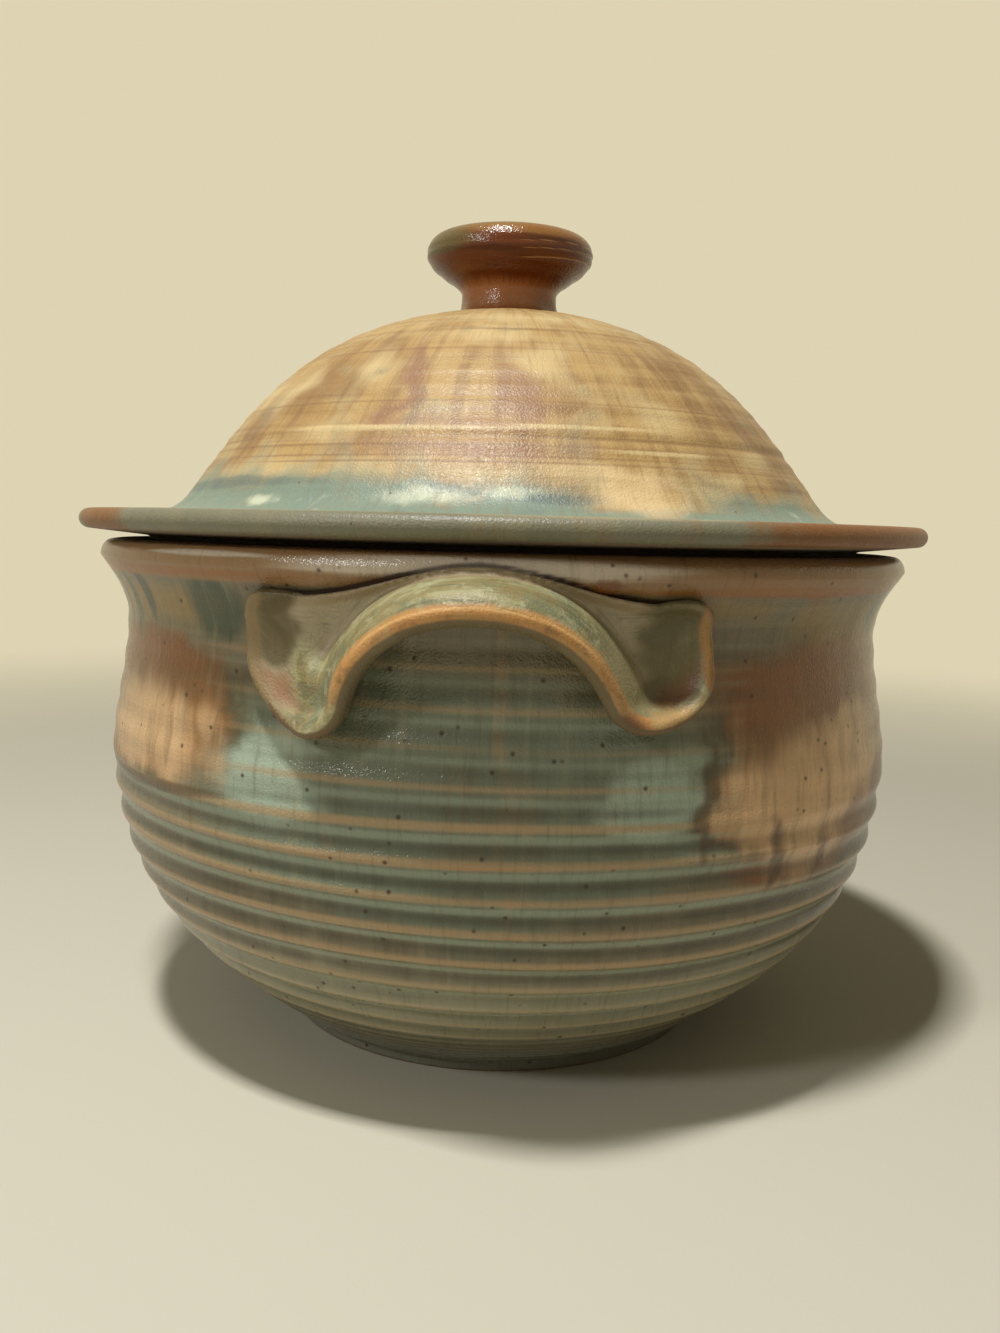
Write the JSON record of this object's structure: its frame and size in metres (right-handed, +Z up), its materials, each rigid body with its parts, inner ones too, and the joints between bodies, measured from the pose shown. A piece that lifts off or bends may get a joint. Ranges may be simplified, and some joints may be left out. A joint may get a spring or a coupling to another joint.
{
  "type": "chimney steamer pot",
  "caption": "Wheel-thrown stoneware casserole with a steam chimney on its floor, strap handles and a loose domed lid that lifts off by its knob.",
  "frame": {"origin": "centre of the foot on the table", "axes": "+Z up along the wheel's axis, -Y towards the front handle, +X to the right seen from the front"},
  "size_m": [0.292, 0.3202, 0.2745],
  "materials": {
    "pot_glaze": "satin gloss glaze on stoneware",
    "chimney_glaze": "satin gloss glaze on stoneware",
    "handle_glaze": "satin gloss glaze on stoneware",
    "lid_glaze": "satin gloss glaze on stoneware",
    "knob_glaze": "gloss glaze on stoneware"
  },
  "bodies": {
    "pot": {"pot_body": "pot_glaze", "steam_chimney": "chimney_glaze", "front_handle": "handle_glaze", "rear_handle": "handle_glaze"},
    "lid": {"lid": "lid_glaze", "lid_knob": "knob_glaze"}
  },
  "joints": [
    {"name": "lid_lift", "type": "slide", "parent": "pot", "child": "lid", "axis": [0, 0, 1], "range_m": [0, 0.15]}
  ]
}
